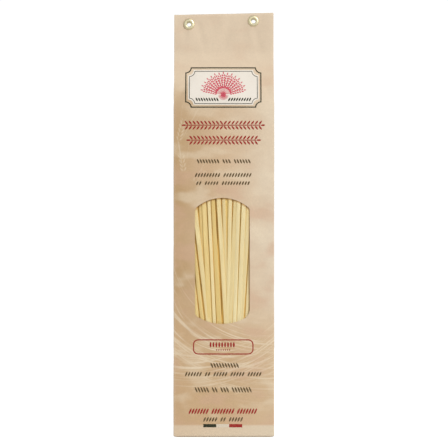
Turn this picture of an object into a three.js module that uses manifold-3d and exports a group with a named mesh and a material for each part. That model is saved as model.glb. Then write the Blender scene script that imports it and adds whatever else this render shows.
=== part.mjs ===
// A tall paper bag of long flat pasta. The bag stands on its block bottom, with a gusset folded
// into each side and an arched window of clear film in the front panel. Above the pasta its panels
// lean together into a flat neck, which is folded over to the back and held by two brass eyelets.
//
// Millimetres, +Z up. The front panel faces -Y, and the origin is on the floor under the middle.

import * as THREE from 'three';
import { LoftGeometry } from 'three/addons/geometries/LoftGeometry.js';
import { mergeVertices } from 'three/addons/utils/BufferGeometryUtils.js';
import Module from 'manifold-3d';

const { lerp, smoothstep } = THREE.MathUtils;

// ---------------------------------------------------------------- sizes

const GAP = 0.3; // left between pieces that touch

// the bag
const WIDTH = 78;
const HEIGHT = 330.2; // along the middle of the top edge
const TOP_SLANT = 1.6 / WIDTH; // the hand-folded top edge rises towards +X
const BODY_DEPTH = 18.3; // half the distance between the front and back creases
const BULGE = 1.7; // how far the front and back panels swell past their creases
const BASE_BULGE = 0.3; // the same, at the floor
const FILL_HEIGHT = 80; // the panels reach their full swell here, and the gussets their rest
const REST_TUCK = 1.5; // how far a gusset's middle crease goes in where the bag is full
const GUSSET_HALF = Math.hypot(BODY_DEPTH, REST_TUCK); // from a corner crease to the middle crease
const SHOULDER = 258; // the panels start to lean together, just above the pasta
const CLOSURE = 302; // the panels lie flat on each other
const NECK_DEPTH = 0.9; // half the thickness of the flat neck
const GUSSET_SHUT = 6; // below this half-depth the gusset's groove closes
const CORNER = 1.4; // radius of the upright creases
const BASE_ROUND = 2.4; // radius of the edge round the block bottom
const PAPER = 0.6;
const FLOOR = 1.2; // the bottom is folded from several layers
const HEADSPACE_TOP = 280; // the empty space above the pasta ends here

// the flap, folded from the neck over to the back
const FLAP_LENGTH = 26;
const FLAP_THICKNESS = 1.2;
const FOLD_DEPTH = 3; // the fold is one solid ridge this far down from its top
const FOLD_SWELL = 0.15; // the ridge stands this far proud of the neck's front
const FLAP_INSET = 0.25; // the flap is this much narrower than the bag at each side

// the window, as seen from the front
const WINDOW = { x: -1.2, bottom: 88.2, top: 186, halfWidth: 21.3 };
const TOP_ARCH = { radius: 31, corner: 3.8 };
const LOW_ARCH = { radius: 37, corner: 6 };
const FILM = 0.3;
const FILM_MARGIN = 5; // what the film reaches past the window on every side

// the pasta, one bundle that fills the bag
const PASTA_LENGTH = 256;
const PASTA_CLEARANCE = PAPER + GAP + FILM + GAP; // from the outside of the bag
const PASTA_HALF_WIDTH = 36.3;
const STRANDS_ACROSS = 19;
const STRANDS_DEEP = 9;
const STRAND_PROFILE = [[0, 0.7], [0.25, 0], [0.75, 0]]; // share of the strand's width, drop
const FAN_LEAN = 0.126; // sideways lean of the strands that lean the most
const FAN_MIDDLE = 8; // the strands here stand upright
const FAN_HEIGHT = 137; // the strands keep their even spacing at this height
const FAN_REACH = 60; // and lean no further than they do this far above and below it

// the eyelets, on an axis along Y
const EYELETS = [
  { name: 'eyelet_left', x: -27.2, z: 321.9 },
  { name: 'eyelet_right', x: 23.1, z: 324.4 },
];
const BARREL_INNER = 2.0;
const BARREL_OUTER = 2.3;
const FLANGE = 4.35;
const BACK_ROLL = 3.6;
const RIM_THICKNESS = 0.8;

// how finely the curved parts are cut
const PANEL_STEPS = 5; // from the middle of a panel to its crease
const CORNER_STEPS = 3;
const BASE_STEPS = 4;
const FOLD_STEPS = 5;
const SHOULDER_STEPS = 10;
const WINDOW_STEPS = 8;
const FILM_STEPS = 8;
const EYELET_STEPS = 24;
const RIM_STEPS = 5;

const HALF_WIDTH = WIDTH / 2;
const NECK_BACK = NECK_DEPTH + GAP + FLAP_THICKNESS; // the back of the flap
const FOLD_FRONT = -NECK_DEPTH - FOLD_SWELL;
const FOLD_RADIUS = (NECK_BACK - FOLD_FRONT) / 2;

// ---------------------------------------------------------------- solids

const wasm = await Module();
wasm.setup();

// A closed geometry as a solid that can be cut and joined.
function solidOf(geometry) {
  const bare = new THREE.BufferGeometry().copy(geometry);
  bare.deleteAttribute('normal');
  bare.deleteAttribute('uv');
  const merged = mergeVertices(bare);
  const corners = merged.index.array;
  const triVerts = [];
  for (let i = 0; i < corners.length; i += 3) {
    const [a, b, c] = corners.slice(i, i + 3);
    if (a !== b && b !== c && c !== a) triVerts.push(a, b, c);
  }
  const vertProperties = merged.attributes.position.array;
  const mesh = new wasm.Mesh({ numProp: 3, vertProperties, triVerts: new Uint32Array(triVerts) });
  return new wasm.Manifold(mesh);
}

function geometryOf(solid) {
  const { vertProperties, triVerts } = solid.getMesh();
  const geometry = new THREE.BufferGeometry();
  geometry.setAttribute('position', new THREE.BufferAttribute(vertProperties, 3));
  geometry.setIndex(new THREE.BufferAttribute(triVerts, 1));
  geometry.computeVertexNormals();
  return geometry;
}

// A closed solid skinned over level outlines. sections: [[height, outline], ...] from the bottom up.
function stack(sections, placed = (point, height) => new THREE.Vector3(point.x, point.y, height)) {
  const rings = sections.map(([height, outline]) => outline.map((point) => placed(point, height)));
  return new LoftGeometry(rings, { capStart: true, capEnd: true });
}

// Values from start to end in equal steps, with both ends.
function steps(start, end, count) {
  return Array.from({ length: count + 1 }, (_, i) => lerp(start, end, i / count));
}

// ---------------------------------------------------------------- shape of the bag

const lean = (z) => smoothstep(z, SHOULDER, CLOSURE);
const fill = (z) => smoothstep(z, 0, FILL_HEIGHT);
const creaseDepth = (z) => lerp(BODY_DEPTH, NECK_DEPTH, lean(z));
const bulge = (z) => lerp(BASE_BULGE, BULGE, fill(z)) * (1 - lean(z));

// A gusset's two halves keep their width, so its middle crease goes in as the panels close.
// At the block bottom the gusset is spread flat.
function gussetTuck(z) {
  const depth = creaseDepth(z);
  return Math.sqrt(GUSSET_HALF ** 2 - depth ** 2) * smoothstep(depth, NECK_DEPTH, GUSSET_SHUT) * fill(z);
}

// How far the rounded edge of the block bottom draws the outline in.
function baseFold(z) {
  return z < BASE_ROUND ? BASE_ROUND - Math.sqrt(BASE_ROUND ** 2 - (BASE_ROUND - z) ** 2) : 0;
}

// How much of its full swell the front panel has at x, and the y of its outside there.
const swell = (x) => 1 - (x / (HALF_WIDTH - CORNER)) ** 2;
const frontFace = (x, z) => -creaseDepth(z) - bulge(z) * swell(x);

// The bag's outside at one height, anticlockwise from above, from the middle of the front panel.
function bagOutline(z) {
  const depth = creaseDepth(z) - baseFold(z);
  const width = HALF_WIDTH - baseFold(z);
  const tuck = gussetTuck(z);
  const radius = Math.min(CORNER, 0.7 * depth);
  const quarter = steps(0, 1, PANEL_STEPS).map(
    (t) => new THREE.Vector2(t * (width - radius), -depth - bulge(z) * (1 - t * t)),
  );
  const turn = Math.PI / 2 + Math.atan2(tuck, depth);
  for (let i = 1; i <= CORNER_STEPS; i++) {
    const angle = (turn * i) / CORNER_STEPS - Math.PI / 2;
    const x = width - radius * (1 - Math.cos(angle));
    quarter.push(new THREE.Vector2(x, radius * (1 + Math.sin(angle)) - depth));
  }
  quarter.push(new THREE.Vector2(width - tuck, 0));
  return [[1, 1], [1, -1], [-1, -1], [-1, 1]].flatMap(([sideX, sideY]) => {
    const part = quarter.map((point) => new THREE.Vector2(point.x * sideX, point.y * sideY));
    return (sideX === sideY ? part : part.reverse()).slice(0, -1);
  });
}

// Moves every side of a closed anticlockwise outline inwards by the same distance.
function insetOutline(outline, distance) {
  return outline.map((point, i) => {
    const before = point.clone().sub(outline.at(i - 1)).normalize();
    const after = outline[(i + 1) % outline.length].clone().sub(point).normalize();
    const side = new THREE.Vector2(-before.y, before.x);
    const inward = side.clone().add(new THREE.Vector2(-after.y, after.x)).normalize();
    return point.clone().addScaledVector(inward, distance / inward.dot(side));
  });
}

// The top edge isn't quite level, and the slant fades out down the neck.
function slanted(point, z) {
  return new THREE.Vector3(point.x, point.y, z + TOP_SLANT * point.x * smoothstep(z, CLOSURE, HEIGHT));
}

function outerHeights(top) {
  return [
    ...steps(0, Math.PI / 2, BASE_STEPS).map((angle) => BASE_ROUND * (1 - Math.cos(angle))),
    ...steps(FILL_HEIGHT / 4, FILL_HEIGHT, 3),
    ...steps(SHOULDER, CLOSURE, SHOULDER_STEPS),
    top,
  ];
}

function bagOutside() {
  const heights = outerHeights(HEIGHT - FOLD_RADIUS);
  return solidOf(stack(heights.map((z) => [z, bagOutline(z)]), slanted));
}

function bagInside() {
  const between = outerHeights(HEADSPACE_TOP).filter((z) => z > FLOOR && z < HEADSPACE_TOP);
  const heights = [FLOOR, ...between, HEADSPACE_TOP];
  return solidOf(stack(heights.map((z) => [z, insetOutline(bagOutline(z), PAPER)])));
}

// The ridge of the fold and the flap that hangs from it behind the neck, as one J-shaped section.
function foldedFlap() {
  const top = HEIGHT - FOLD_RADIUS;
  const section = new THREE.Shape();
  section.moveTo(NECK_BACK - FLAP_THICKNESS, HEIGHT - FLAP_LENGTH);
  section.lineTo(NECK_BACK, HEIGHT - FLAP_LENGTH);
  section.absarc(NECK_BACK - FOLD_RADIUS, top, FOLD_RADIUS, 0, Math.PI);
  section.lineTo(FOLD_FRONT, HEIGHT - FOLD_DEPTH);
  section.lineTo(NECK_BACK - FLAP_THICKNESS, HEIGHT - FOLD_DEPTH);
  const half = HALF_WIDTH - FLAP_INSET;
  const options = { depth: 2 * half, bevelEnabled: false, curveSegments: FOLD_STEPS };
  const flap = new THREE.ExtrudeGeometry(section, options);
  const back = new THREE.Vector3(0, 1, 0);
  const up = new THREE.Vector3(0, 0, 1);
  const across = new THREE.Vector3(1, 0, TOP_SLANT); // the section is carried along the slanted top
  flap.applyMatrix4(new THREE.Matrix4().makeBasis(back, up, across));
  flap.translate(-half, 0, -half * TOP_SLANT);
  return solidOf(flap);
}

// Adds one end of the window to its outline: a shallow arch between two fillets. level is the
// height of the arch's centre, and up is 1 for the top end and -1 for the bottom end.
function addArch(outline, { radius, corner }, level, up) {
  const start = up > 0 ? 0 : Math.PI;
  const reach = WINDOW.halfWidth - corner; // from the middle to a fillet's centre
  const rise = Math.sqrt((radius - corner) ** 2 - reach ** 2);
  const turn = Math.atan2(rise, reach);
  outline.absarc(up * reach, level + up * rise, corner, start, start + turn);
  outline.absarc(0, level, radius, start + turn, start + Math.PI - turn);
  outline.absarc(-up * reach, level + up * rise, corner, start + Math.PI - turn, start + Math.PI);
}

function windowCutter() {
  const outline = new THREE.Shape();
  addArch(outline, TOP_ARCH, WINDOW.top - TOP_ARCH.radius, 1);
  addArch(outline, LOW_ARCH, WINDOW.bottom + LOW_ARCH.radius, -1);
  const depth = BODY_DEPTH; // from well in front of the panel to inside the bag
  const options = { depth, bevelEnabled: false, curveSegments: WINDOW_STEPS };
  const cutter = new THREE.ExtrudeGeometry(outline, options);
  cutter.rotateX(Math.PI / 2);
  cutter.translate(WINDOW.x, -depth / 2, 0);
  return solidOf(cutter);
}

function eyeletHole({ x, z }) {
  const radius = BARREL_OUTER + GAP;
  const hole = new THREE.CylinderGeometry(radius, radius, 8 * NECK_BACK, EYELET_STEPS);
  hole.translate(x, 0, z);
  return solidOf(hole);
}

function paperBag() {
  let bag = bagOutside().add(foldedFlap()).subtract(bagInside()).subtract(windowCutter());
  for (const eyelet of EYELETS) bag = bag.subtract(eyeletHole(eyelet));
  return geometryOf(bag);
}

// ---------------------------------------------------------------- film, pasta and eyelets

// A sheet of film that follows the inside of the front panel behind the window.
function windowFilm() {
  const half = WINDOW.halfWidth + FILM_MARGIN;
  const across = steps(WINDOW.x - half, WINDOW.x + half, FILM_STEPS);
  const sheet = (z) => {
    const face = (setBack) => across.map((x) => new THREE.Vector2(x, frontFace(x, z) + setBack));
    return [...face(PAPER + GAP), ...face(PAPER + GAP + FILM).reverse()];
  };
  const heights = steps(WINDOW.bottom - FILM_MARGIN, WINDOW.top + FILM_MARGIN, 4);
  return stack(heights.map((z) => [z, sheet(z)]));
}

// One side of the bundle: strand beside strand, each a valley and the two edges of a flat crown.
function strandRow(from, to, count, bow) {
  const along = to.clone().sub(from).normalize();
  const outward = new THREE.Vector2(along.y, -along.x);
  return steps(0, count - 1, count - 1).flatMap((strand) =>
    STRAND_PROFILE.map(([share, drop]) => {
      const t = (strand + share) / count;
      return from.clone().lerp(to, t).addScaledVector(outward, bow * 4 * t * (1 - t) - drop);
    }),
  );
}

// The bundle's outline at one height, anticlockwise from above, from its front left corner.
function bundleOutline(z) {
  const depth = creaseDepth(z) - PASTA_CLEARANCE;
  const width = PASTA_HALF_WIDTH;
  const corners = [[-width, -depth], [width, -depth], [width, depth], [-width, depth]];
  return corners.flatMap(([x, y], i) => {
    const from = new THREE.Vector2(x, y);
    const to = new THREE.Vector2(...corners[(i + 1) % corners.length]);
    const facing = i % 2 === 0; // the front and the back
    return strandRow(from, to, facing ? STRANDS_ACROSS : STRANDS_DEEP, facing ? bulge(z) : 0);
  });
}

// The strands fan out towards the top, most of all left of the middle, and not at all at the sides.
function fanned(point, z) {
  const rise = THREE.MathUtils.clamp(z - FAN_HEIGHT, -FAN_REACH, FAN_REACH);
  const share = (point.x - FAN_MIDDLE) / (PASTA_HALF_WIDTH - FAN_MIDDLE);
  const shift = FAN_LEAN * share * (1 - (point.x / PASTA_HALF_WIDTH) ** 2) * rise;
  return new THREE.Vector3(point.x + shift, point.y, z);
}

function pastaBundle() {
  const bottom = FLOOR + GAP;
  const heights = [
    bottom,
    FILL_HEIGHT / 2,
    FAN_HEIGHT - FAN_REACH,
    FAN_HEIGHT + FAN_REACH,
    bottom + PASTA_LENGTH,
  ];
  return stack(heights.map((z) => [z, bundleOutline(z)]), fanned);
}

// A short tube with a domed flange in front and its end rolled over behind.
function eyelet({ x, z }) {
  const front = -NECK_DEPTH - GAP;
  const back = NECK_BACK + GAP;
  // Half of a rounded rim, from the barrel's bore out to its edge, on the side that faces away.
  const rim = (radius, seat, facing) =>
    steps(Math.PI, 0, RIM_STEPS).map((angle) => {
      const middle = (BARREL_INNER + radius) / 2;
      const reach = (radius - BARREL_INNER) / 2;
      const rise = facing * RIM_THICKNESS * Math.sin(angle);
      return new THREE.Vector2(middle + reach * Math.cos(angle), seat + rise);
    });
  const profile = [
    ...rim(FLANGE, front, -1),
    new THREE.Vector2(BARREL_OUTER, front),
    new THREE.Vector2(BARREL_OUTER, back),
    ...rim(BACK_ROLL, back, 1).reverse(),
  ];
  const geometry = new THREE.LatheGeometry([...profile, profile[0].clone()], EYELET_STEPS);
  geometry.translate(x, 0, z);
  return geometryOf(solidOf(geometry));
}

// ---------------------------------------------------------------- the object

function part(name, geometry, color, roughness, metalness = 0) {
  const mesh = new THREE.Mesh(geometry, new THREE.MeshStandardMaterial({ color, roughness, metalness }));
  mesh.name = name;
  return mesh;
}

const pastaBag = new THREE.Group();
pastaBag.add(part('paper_bag', paperBag(), 0xd2b791, 0.85));
pastaBag.add(part('window_film', windowFilm(), 0xf4f1ea, 0.15));
pastaBag.add(part('linguine', pastaBundle(), 0xe6cf92, 0.6));
for (const place of EYELETS) pastaBag.add(part(place.name, eyelet(place), 0xcbbd86, 0.35, 0.9));

export default pastaBag;
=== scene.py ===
"""A tall paper bag of long flat pasta, standing on its block bottom.

One sheet of paper is formed into the whole bag: front, two gussets and back with a lap seam, a block
bottom, and a neck that is pressed flat, folded over to the back and held by two brass eyelets. An arched
window in the front is closed from inside by clear film, with the strands of pasta right behind it.
"""
import random
from math import atan2, copysign, cos, degrees, exp, hypot, pi, radians, sin, sqrt

import bmesh
import bpy
from mathutils import Matrix, Vector, noise


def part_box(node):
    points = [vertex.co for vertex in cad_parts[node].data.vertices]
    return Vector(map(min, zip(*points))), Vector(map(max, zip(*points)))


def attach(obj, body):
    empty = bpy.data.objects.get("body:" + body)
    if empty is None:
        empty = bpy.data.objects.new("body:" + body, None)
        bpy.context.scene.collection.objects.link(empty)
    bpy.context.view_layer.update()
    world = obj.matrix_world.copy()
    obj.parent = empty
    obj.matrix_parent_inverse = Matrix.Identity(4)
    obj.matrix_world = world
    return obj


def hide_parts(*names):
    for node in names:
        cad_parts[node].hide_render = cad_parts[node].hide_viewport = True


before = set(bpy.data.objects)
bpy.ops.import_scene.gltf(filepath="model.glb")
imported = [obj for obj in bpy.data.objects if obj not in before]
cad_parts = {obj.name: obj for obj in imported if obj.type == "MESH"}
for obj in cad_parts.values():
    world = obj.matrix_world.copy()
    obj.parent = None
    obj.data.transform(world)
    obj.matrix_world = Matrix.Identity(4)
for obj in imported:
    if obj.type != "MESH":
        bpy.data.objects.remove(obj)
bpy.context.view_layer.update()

# ---- sizes, in millimetres

MM = 0.001  # pieces are shaped in millimetres and scaled to metres at the end


def box_mm(node):
    """The lowest and highest corner of a node of the frame, in millimetres."""
    low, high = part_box(node)
    return low / MM, high / MM


bag_low, bag_high = box_mm("paper_bag")
film_low, film_high = box_mm("window_film")
pasta_low, pasta_high = box_mm("linguine")

# the bag
WIDTH = bag_high.x - bag_low.x
HALF_WIDTH = WIDTH / 2
TOP_SLANT = 1.6 / WIDTH  # the hand-folded top edge rises towards +X
HEIGHT = bag_high.z - TOP_SLANT * HALF_WIDTH  # along the middle of the top edge
BULGE = 1.7  # how far the front and back panels swell past their creases
BASE_BULGE = 0.3  # the same, at the floor
BODY_DEPTH = bag_high.y - BULGE  # half the distance between the front and back creases
FILL_HEIGHT = 80  # the panels reach their full swell here, and the gussets their rest
REST_TUCK = 1.5  # how far a gusset's middle crease goes in where the bag is full
GUSSET_HALF = hypot(BODY_DEPTH, REST_TUCK)  # from a corner crease to the middle crease
SHOULDER = pasta_high.z + 0.5  # the panels start to lean together
CLOSURE = 302  # the panels lie flat on each other
NECK_DEPTH = 0.75  # half the thickness of the flat neck
PLY_GAP = 0.3  # the folded gussets lie this far inside the neck's front and back
BASE_ROUND = 1.2  # radius of the edge round the block bottom
BASE_LIFT = 0.5  # the bottom sheet lies on the flaps that close it
BASE_FLAP_LAP = 6  # how far each bottom flap reaches past the middle
BASE_FLAP_PAPER = 0.18
BASE_FLAP_RISE = 0.2  # the inner flap lies this much higher than the outer one
CREASE = 0.5  # how far from its line a crease starts to turn
PAPER = 0.22
SPREAD = 1 + 0.3 * CREASE / HALF_WIDTH  # rounding draws the creases in, so the sheet is laid wider

# the fold at the top and the flap behind the neck
FOLD_AXIS = NECK_DEPTH + 0.15
FOLD_RADIUS = FOLD_AXIS + NECK_DEPTH
FOLD_START = HEIGHT - FOLD_RADIUS
FLAP_LENGTH = 26
FLAP_LIFT = 0.9  # the flap's free edge springs back by this much

# the lap seam down the back, measured along the paper from the front left crease
HALF_ROUND = WIDTH + 2 * GUSSET_HALF  # half the way round the bag
SEAM = HALF_ROUND + 29
SEAM_END = SEAM + 2 * HALF_ROUND  # the sheet has gone round once
SEAM_LAP = 11
LAP_LIFT = 0.28
COLUMN_WIDTH = 1.6  # the sheet is cut about this finely between its creases

# the window
SOLID_MARGIN = 5  # how far the film's solid reaches past the window
FILM_MARGIN = 4  # the same for the film
WINDOW_X = (film_low.x + film_high.x) / 2
WINDOW_HALF = (film_high.x - film_low.x) / 2 - SOLID_MARGIN
WINDOW_LOW = film_low.z + SOLID_MARGIN
WINDOW_HIGH = film_high.z - SOLID_MARGIN
FILM = 0.05
FILM_SET_BACK = 0.25  # from the inside of the paper to the film
TOP_ARCH = 31  # radius of the window's top
LOW_ARCH = 37

# the pasta
STRAND_WIDTH = 3.8
STRAND_THICKNESS = 1.4
RANK = 1.3  # from one layer of strands to the next
FLATNESS = 0.45  # below 1, a strand's round section is drawn out towards a box
STRAND_SET_BACK = 0.6  # from the outside of the front panel to the nearest strands
STRAND_REACH = 35.2  # a leaning strand's middle stops here at the sides of the bag
HIDDEN_DIP = 1  # above and below the window the strands lie this much deeper
TOP_DIP = 0.5  # the layers behind them lie this much deeper at the high mark
HIGH_MARK = 181.3  # the leaning strands are placed by where they cross these two heights
LOW_MARK = 91.9
# The edge and depth layers set how much painted shade a strand's colour takes.
STRAND_LAYERS = ("tone", "edge", "depth")  # how pale, how near its edge, how deep in the bundle

# the eyelets
EYELET_NODES = ["eyelet_left", "eyelet_right"]
BORE = 1.85  # radius inside the barrel
FLANGE_CREST = 2.6  # where the front flange is highest
FLANGE_RISE = 0.95
ROLLED_END = 3.9  # outer radius of the rolled end behind
ROLL_RISE = 0.8
HOLE_REACH = 2.3  # the paper is gone this far from the middle of an eyelet
BARREL_DROP = 0.8

# ---- small helpers


def steps(start, end, count):
    """Values from start to end in equal steps, with both ends."""
    return [start + (end - start) * i / count for i in range(count + 1)]


def lerp(start, end, share):
    return start + (end - start) * share


def smoothstep(value, low, high):
    share = min(max((value - low) / (high - low), 0), 1)
    return share * share * (3 - 2 * share)


def linear(red, green, blue):
    """Screen values from 0 to 255, as the linear colour that a shader reads."""
    shares = [value / 255 for value in (red, green, blue)]
    return (*[s / 12.92 if s < 0.04045 else ((s + 0.055) / 1.055) ** 2.4 for s in shares], 1)


def noise_at(*place):
    return noise.noise(Vector(place))


def new_grid(columns, rows):
    """A flat grid one unit across, round the origin."""
    bm = bmesh.new()
    bmesh.ops.create_grid(bm, x_segments=columns, y_segments=rows, size=0.5)
    return bm


def add_polygon(bm, corners):
    face = bm.faces.new([bm.verts.new((x, 0, z)) for x, z in corners])
    face.normal_update()
    return face


def laid_flat(x, z, width, height, tilt=0):
    """Stands a shape of unit size in the front plane, turned to the right by tilt degrees."""
    turn = Matrix.Rotation(radians(tilt), 4, "Y") @ Matrix.Diagonal((width, 1, height, 1))
    return Matrix.Translation((x, 0, z)) @ turn @ Matrix.Rotation(pi / 2, 4, "X")


def add_oval(bm, x, z, width, height, tilt=0, count=12, pointed=0):
    """A flat oval. pointed draws its ends out to a grain."""
    verts = bmesh.ops.create_circle(bm, cap_ends=True, segments=count, radius=0.5)["verts"]
    for vert in verts:
        vert.co.x *= 1 - pointed * abs(2 * vert.co.y) ** 3
    bmesh.ops.transform(bm, matrix=laid_flat(x, z, width, height, tilt), verts=verts)


def add_rectangle(bm, x, z, width, height, radius=0):
    """A flat rectangle, with rounded corners if a radius is given."""
    matrix = laid_flat(x, z, width, height)
    corners = bmesh.ops.create_grid(bm, x_segments=1, y_segments=1, size=0.5, matrix=matrix)["verts"]
    face = corners[0].link_faces[0]
    if radius:
        made = bmesh.ops.bevel(bm, geom=corners, offset=radius, offset_type="OFFSET", affect="VERTICES",
                               segments=6, profile=0.5, material=-1)
        face = made["verts"][0].link_faces[0]
    return face


def leave_rim(bm, face, width):
    """Turns a flat shape into a line of this width along its edge."""
    bmesh.ops.inset_region(bm, faces=[face], thickness=width, use_even_offset=True, use_boundary=True)
    bmesh.ops.delete(bm, geom=[face], context="FACES")


def arc(x, z, radius, start, end, count):
    """Points on an arc round (x, z), from one angle to another, in degrees."""
    angles = steps(radians(start), radians(end), count)
    return [(x + radius * cos(angle), z + radius * sin(angle)) for angle in angles]


def to_mesh(name, bm):
    mesh = bpy.data.meshes.new(name)
    bm.to_mesh(mesh)
    bm.free()
    return mesh


def to_scene(name, data):
    thing = bpy.data.objects.new(name, data)
    bpy.context.collection.objects.link(thing)
    return thing


def finish_piece(name, bm, material, replaced):
    """Turns a mesh in millimetres into a piece of the object."""
    bmesh.ops.scale(bm, vec=(MM, MM, MM), verts=bm.verts)
    piece = to_scene(name, to_mesh(name, bm))
    piece.data.materials.append(material)
    piece.data.shade_smooth()
    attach(piece, "root")
    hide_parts(replaced)
    return piece


def thicken(piece, thickness, cutter=None):
    """Gives a sheet its thickness, towards its inner side, and takes the cutter out of it."""
    wall = piece.modifiers.new("wall", "SOLIDIFY")
    wall.thickness = thickness * MM
    wall.offset = -1
    if cutter:
        cut = piece.modifiers.new("cut", "BOOLEAN")
        cut.operation = "DIFFERENCE"
        cut.object = cutter
        cut.solver = "MANIFOLD"
    graph = bpy.context.evaluated_depsgraph_get()
    made = bpy.data.meshes.new_from_object(piece.evaluated_get(graph))
    piece.modifiers.clear()
    piece.data = made


def sharpen(piece, angle):
    """Marks the edges that turn by more than this many degrees as sharp."""
    bm = bmesh.new()
    bm.from_mesh(piece.data)
    for edge in bm.edges:
        edge.smooth = edge.calc_face_angle(pi) < radians(angle)
    bm.to_mesh(piece.data)
    bm.free()


# ---- shape of the bag


def lean(z):
    """0 where the bag is full, 1 where its panels lie flat on each other."""
    return smoothstep(z, SHOULDER, CLOSURE)


def fill(z):
    return smoothstep(z, 0, FILL_HEIGHT)


def crease_depth(z):
    return lerp(BODY_DEPTH, NECK_DEPTH, lean(z))


def bulge(z):
    return lerp(BASE_BULGE, BULGE, fill(z)) * (1 - lean(z))


def gusset_tuck(z):
    """A gusset's two halves keep their width, so its middle crease goes in as the panels close."""
    return sqrt(GUSSET_HALF**2 - crease_depth(z) ** 2) * fill(z)


def front_face(x, z):
    return -crease_depth(z) - bulge(z) * (1 - (x / HALF_WIDTH) ** 2)


def ring_point(s, z):
    """A level cut of the paper with sharp creases. s goes round from the front left crease."""
    turns, s = divmod(s, HALF_ROUND)
    if s < WIDTH:
        place = Vector((s - HALF_WIDTH, front_face(s - HALF_WIDTH, z)))
    else:
        across = (s - WIDTH) / GUSSET_HALF - 1
        tuck = gusset_tuck(z) * (1 - abs(across))
        place = Vector((HALF_WIDTH - tuck, across * (crease_depth(z) - PLY_GAP * lean(z))))
    place.x *= SPREAD
    return place if turns % 2 == 0 else -place


def paper_ring(s, z):
    """The same cut with its creases rounded, and the outward direction there."""
    near = [ring_point(s + share * CREASE, z) for share in (-1, -0.5, 0, 0.5, 1)]
    along = (near[-1] - near[0]).normalized()
    return sum(near, Vector((0, 0))) / len(near), Vector((along.y, -along.x))


# Soft folds pressed into the paper: two ends as (x, z), and a depth.
FRONT_FOLDS = [
    ((-38, 260), (-20, 290), 0.9),
    ((-39, 278), (-29, 300), 0.6),
    ((38, 262), (22, 294), 0.7),
    ((10, 296), (28, 288), 0.5),
    ((-14, 299), (-4, 291), 0.4),
    ((-38, 60), (-30, 84), 0.4),
    ((-38, 150), (-29, 166), 0.5),
    ((38, 112), (25, 121), 0.45),
    ((37, 205), (31, 226), 0.3),
]
NECK_FOLDS = [
    ((-20, 322), (-15, 300), 0.5),
    ((-30, 316), (-33, 297), 0.4),
    ((24, 317), (29, 296), 0.5),
    ((4, 326), (0, 306), 0.3),
]
BACK_FOLDS = [
    ((-38, 262), (-18, 292), 0.5),
    ((38, 262), (20, 296), 0.45),
    ((-5, 262), (6, 288), 0.3),
    ((-30, 150), (-38, 175), 0.3),
    ((30, 60), (38, 84), 0.3),
]
FOLD_SPREAD = 2.2


def groove(x, z, fold):
    start, end, depth = Vector(fold[0]), Vector(fold[1]), fold[2]
    run = end - start
    share = min(max((Vector((x, z)) - start).dot(run) / run.length_squared, 0), 1)
    gap = (Vector((x, z)) - start - run * share).length
    return -depth * exp(-((gap / FOLD_SPREAD) ** 2)) * (1 - 0.6 * share)


def crumple(place, z):
    """How far the paper stands out from its smooth shape: slow waves, small dents and folds."""
    x, y = place
    slow = noise_at(x / 30, y / 30, z / 52)
    small = noise_at(x / 10 + 9, y / 10, z / 15)
    shoulder = exp(-(((z - SHOULDER - 12) / 22) ** 2))
    out = 0.6 * slow + (0.22 + 0.2 * shoulder) * small
    if abs(y) > 0.5 * crease_depth(z):
        out += sum(groove(x, z, fold) for fold in (FRONT_FOLDS if y < 0 else BACK_FOLDS))
    stiff = 0.75 * smoothstep(abs(x), HALF_WIDTH - 9, HALF_WIDTH) * smoothstep(abs(y), 0, crease_depth(z))
    return out * (1 - stiff) * (1 - 0.7 * lean(z)) * smoothstep(z, 0, 12)


def neck_wave(x, z):
    """All the plies of the flat neck bend together."""
    bent = 0.35 * sin(x / 9.5 + 0.8) + 0.6 * noise_at(x / 9, z / 20, 7.3)
    bent -= sum(groove(x, z, fold) for fold in NECK_FOLDS)
    return bent * smoothstep(z, CLOSURE - 16, CLOSURE + 6)


def paper_point(s, row, lift=0):
    """row: how far the outline is drawn in, its height, and the way past the fold."""
    inset, height, over = row
    place, outward = paper_ring(s, height)
    place = place + outward * (crumple(place, height) + lift)
    x = place.x * (1 - inset / HALF_WIDTH)
    y = place.y * (1 - inset / (BODY_DEPTH + BASE_BULGE))
    z = height + TOP_SLANT * x * smoothstep(height, CLOSURE, HEIGHT)
    if over > 0:
        angle = min(over / FOLD_AXIS, pi)
        hang = max(over - pi * FOLD_AXIS, 0)
        radius = FOLD_AXIS - y
        z += radius * sin(angle) - hang
        y = FOLD_AXIS - radius * cos(angle) + FLAP_LIFT * (hang / FLAP_LENGTH) ** 2
    return Vector((x, y + neck_wave(x, height), z))


def on_front(x, z, lift=0):
    return paper_point(x + HALF_WIDTH, (0, z, 0), lift)


# ---- paper bag


def paper_rows():
    """The rows of the sheet, from the middle of the bottom up to the free edge of the flap."""
    bent = pi * FOLD_AXIS
    rows = [(inset, BASE_LIFT, 0) for inset in steps(BODY_DEPTH - 0.4, BASE_ROUND, 7)]
    for turn in steps(0, pi / 2, 4)[1:]:
        rows.append((BASE_ROUND * (1 - sin(turn)), BASE_LIFT + BASE_ROUND * (1 - cos(turn)), 0))
    heights = steps(BASE_LIFT + BASE_ROUND, SHOULDER - 4, 112)[1:]
    heights += steps(SHOULDER - 4, CLOSURE, 38)[1:]
    heights += steps(CLOSURE, FOLD_START, 22)[1:]
    past_fold = steps(0, bent, 8)[1:] + steps(bent, bent + FLAP_LENGTH - FOLD_RADIUS, 18)[1:]
    return rows + [(0, z, 0) for z in heights] + [(0, FOLD_START, over) for over in past_fold]


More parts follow.
